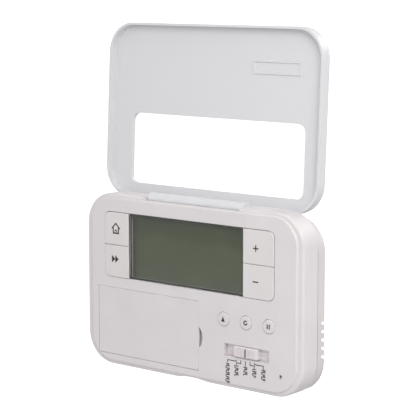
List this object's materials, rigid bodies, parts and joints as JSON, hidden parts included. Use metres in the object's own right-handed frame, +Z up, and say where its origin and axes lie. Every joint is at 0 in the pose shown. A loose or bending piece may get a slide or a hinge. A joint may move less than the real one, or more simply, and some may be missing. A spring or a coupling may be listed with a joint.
{
  "type": "wall thermostat",
  "caption": "Battery room thermostat with flip-up windowed cover, display, side keys, round keys, slide selector and battery door, on a wall plate.",
  "frame": {"origin": "on the back of the wall plate, at the body's centre", "axes": "+Z up, +X to the right seen from the front, -Y out of the front face, so the wall is the plane Y = 0"},
  "size_m": [0.128, 0.0242, 0.1624],
  "materials": {
    "housing_plastic": "fine satin, warm white",
    "cover_plastic": "semi-gloss, cool white",
    "key_plastic": "satin white",
    "rear_plastic": "satin warm white",
    "knob_plastic": "satin, faint pink white",
    "clear_lens": "clear, polished",
    "display_glass": "olive grey reflective display",
    "dark_plastic": "black",
    "diffuser": "milky",
    "board_green": "solder-masked laminate",
    "spring_steel": "plated",
    "zinc_screw": "zinc plated",
    "cell_wrap": "printed sleeve",
    "relay_case": "moulded case",
    "terminal_plastic": "moulded",
    "contact_rubber": "conductive rubber",
    "sensor_bead": "dipped bead"
  },
  "bodies": {
    "case": {"backup_capacitor": "dark_plastic", "battery_lower": "cell_wrap", "battery_plate_lower": "spring_steel", "battery_plate_upper": "spring_steel", "battery_spring_lower": "spring_steel", "battery_spring_upper": "spring_steel", "battery_upper": "cell_wrap", "blade_contact_1": "spring_steel", "blade_contact_2": "spring_steel", "blade_contact_3": "spring_steel", "blade_contact_4": "spring_steel", "board_screw_1": "zinc_screw", "board_screw_2": "zinc_screw", "board_screw_3": "zinc_screw", "board_screw_4": "zinc_screw", "case_screw_1": "zinc_screw", "case_screw_2": "zinc_screw", "case_screw_3": "zinc_screw", "case_screw_4": "zinc_screw", "crystal": "zinc_screw", "dome_under_advance_key": "spring_steel", "dome_under_home_key": "spring_steel", "dome_under_minus_key": "spring_steel", "dome_under_plus_key": "spring_steel", "dome_under_round_key_left": "spring_steel", "dome_under_round_key_middle": "spring_steel", "dome_under_round_key_right": "spring_steel", "front_housing": "housing_plastic", "lcd_backlight": "diffuser", "lcd_contact_strip": "contact_rubber", "lcd_frame": "dark_plastic", "lcd_glass": "display_glass", "lcd_lens": "clear_lens", "main_board": "board_green", "mcu_chip": "dark_plastic", "rear_housing": "rear_plastic", "relay": "relay_case", "reset_switch_body": "dark_plastic", "slide_switch_body": "spring_steel", "temperature_sensor": "sensor_bead", "terminal_block": "terminal_plastic", "terminal_screw_1": "zinc_screw", "terminal_screw_2": "zinc_screw", "terminal_screw_3": "zinc_screw", "terminal_screw_4": "zinc_screw", "wall_plate": "rear_plastic"},
    "flip_lid": {"flip_lid": "cover_plastic"},
    "battery_door": {"battery_door": "housing_plastic"},
    "mode_slider": {"mode_slider_knob": "knob_plastic", "slide_switch_lever": "dark_plastic"},
    "reset_plunger": {"reset_plunger": "contact_rubber"},
    "home_key": {"home_key": "key_plastic"},
    "advance_key": {"advance_key": "key_plastic"},
    "plus_key": {"plus_key": "key_plastic"},
    "minus_key": {"minus_key": "key_plastic"},
    "round_key_left": {"round_key_left": "key_plastic"},
    "round_key_middle": {"round_key_middle": "key_plastic"},
    "round_key_right": {"round_key_right": "key_plastic"}
  },
  "joints": [
    {"name": "lid_hinge", "type": "hinge", "parent": "case", "child": "flip_lid", "pos_m": [0, -0.0167, 0.04005], "axis": [-1, 0, 0], "range_deg": [-182.9, 0]},
    {"name": "battery_door_hinge", "type": "hinge", "parent": "case", "child": "battery_door", "pos_m": [-0.0564, -0.0232, -0.0198], "axis": [0, 0, -1], "range_deg": [0, 60]},
    {"name": "mode_slide", "type": "slide", "parent": "case", "child": "mode_slider", "axis": [1, 0, 0], "range_m": [-0.0052, 0.0052]},
    {"name": "reset_press", "type": "slide", "parent": "case", "child": "reset_plunger", "axis": [0, 1, 0], "range_m": [0, 0.0003], "stiffness_N_per_m": 500},
    {"name": "home_key_press", "type": "slide", "parent": "case", "child": "home_key", "axis": [0, 1, 0], "range_m": [0, 0.0008], "stiffness_N_per_m": 500},
    {"name": "advance_key_press", "type": "slide", "parent": "case", "child": "advance_key", "axis": [0, 1, 0], "range_m": [0, 0.0008], "stiffness_N_per_m": 500},
    {"name": "plus_key_press", "type": "slide", "parent": "case", "child": "plus_key", "axis": [0, 1, 0], "range_m": [0, 0.0008], "stiffness_N_per_m": 500},
    {"name": "minus_key_press", "type": "slide", "parent": "case", "child": "minus_key", "axis": [0, 1, 0], "range_m": [0, 0.0008], "stiffness_N_per_m": 500},
    {"name": "round_key_left_press", "type": "slide", "parent": "case", "child": "round_key_left", "axis": [0, 1, 0], "range_m": [0, 0.0008], "stiffness_N_per_m": 500},
    {"name": "round_key_middle_press", "type": "slide", "parent": "case", "child": "round_key_middle", "axis": [0, 1, 0], "range_m": [0, 0.0008], "stiffness_N_per_m": 500},
    {"name": "round_key_right_press", "type": "slide", "parent": "case", "child": "round_key_right", "axis": [0, 1, 0], "range_m": [0, 0.0008], "stiffness_N_per_m": 500}
  ]
}
